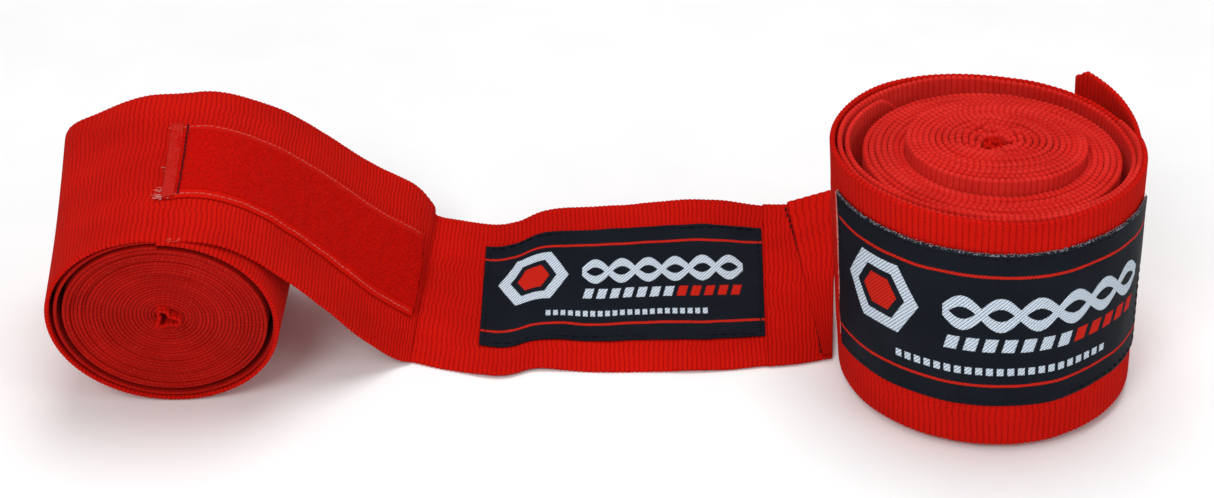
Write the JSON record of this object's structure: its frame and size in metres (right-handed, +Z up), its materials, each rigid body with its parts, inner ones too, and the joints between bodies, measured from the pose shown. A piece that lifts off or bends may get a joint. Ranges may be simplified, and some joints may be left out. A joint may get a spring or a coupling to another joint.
{
  "type": "hand wrap",
  "caption": "Pair of elastic cotton boxing hand wraps: one partly unrolled with its loop tape and woven label panel laid out, the other rolled up and standing on its edge.",
  "frame": {"origin": "on the table under the middle of the pair's bounding box", "axes": "+Z up from the table, +X along the pair from the partly unrolled wrap to the standing rolled one, +Y away from the viewer, into the depth of the pair"},
  "size_m": [0.2376, 0.0822, 0.0579],
  "materials": {
    "red_cloth": "ribbed elastic cotton knit",
    "red_tape": "hook and loop tape, fuzzy",
    "red_thread": "sewing thread",
    "black_woven_label": "woven twill label",
    "black_thread": "sewing thread"
  },
  "bodies": {
    "left_strip": {"left_outer_turn_and_tail": "red_cloth", "left_loop_patch": "red_tape", "left_loop_patch_stitching": "red_thread"},
    "left_coil": {"left_wound_coil": "red_cloth", "left_thumb_loop": "red_cloth"},
    "left_panel": {"left_label_panel": "red_cloth", "left_woven_label": "black_woven_label", "left_label_stitching": "black_thread", "left_hook_patch": "red_tape", "left_hook_patch_stitching": "red_thread"},
    "left_end": {"left_end_tab": "red_cloth", "left_end_hem": "red_cloth", "left_end_seam": "red_thread"},
    "right_wrap": {"right_outer_turn": "red_cloth", "right_woven_label": "black_woven_label", "right_label_stitching": "black_thread", "right_loop_patch": "red_tape", "right_loop_patch_stitching": "red_thread"},
    "right_coil": {"right_wound_coil": "red_cloth", "right_thumb_loop": "red_cloth"},
    "right_flap": {"right_end_flap": "red_cloth", "right_hook_patch": "red_tape", "right_hook_patch_stitching": "red_thread", "right_end_hem": "red_cloth", "right_end_seam": "red_thread"}
  },
  "joints": [
    {"name": "left_coil_turn", "type": "hinge", "parent": "left_strip", "child": "left_coil", "pos_m": [-0.08837, -0.02598, 0.02445], "axis": [-0.0348, 0.9974, 0.0631], "continuous": true},
    {"name": "left_panel_lift", "type": "hinge", "parent": "left_strip", "child": "left_panel", "pos_m": [-0.03705, 0.0165, 0.00511], "axis": [-0.0552, -0.9875, -0.1478], "range_deg": [0, 90]},
    {"name": "left_end_fold", "type": "hinge", "parent": "left_panel", "child": "left_end", "pos_m": [0.04105, 0.01479, 0.0074], "axis": [-0.0186, -0.9701, -0.2419], "range_deg": [0, 120]},
    {"name": "right_wrap_lift", "type": "slide", "parent": "left_strip", "child": "right_wrap", "axis": [0, 0, 1], "range_m": [0, 0.12]},
    {"name": "right_coil_turn", "type": "hinge", "parent": "right_wrap", "child": "right_coil", "pos_m": [0.08533, -0.00678, 0], "axis": [0, 0, 1], "continuous": true},
    {"name": "right_flap_peel", "type": "hinge", "parent": "right_wrap", "child": "right_flap", "pos_m": [0.11771, -0.00348, 0.02828], "axis": [0.0423, -0.0025, -0.9991], "range_deg": [0, 100]}
  ]
}
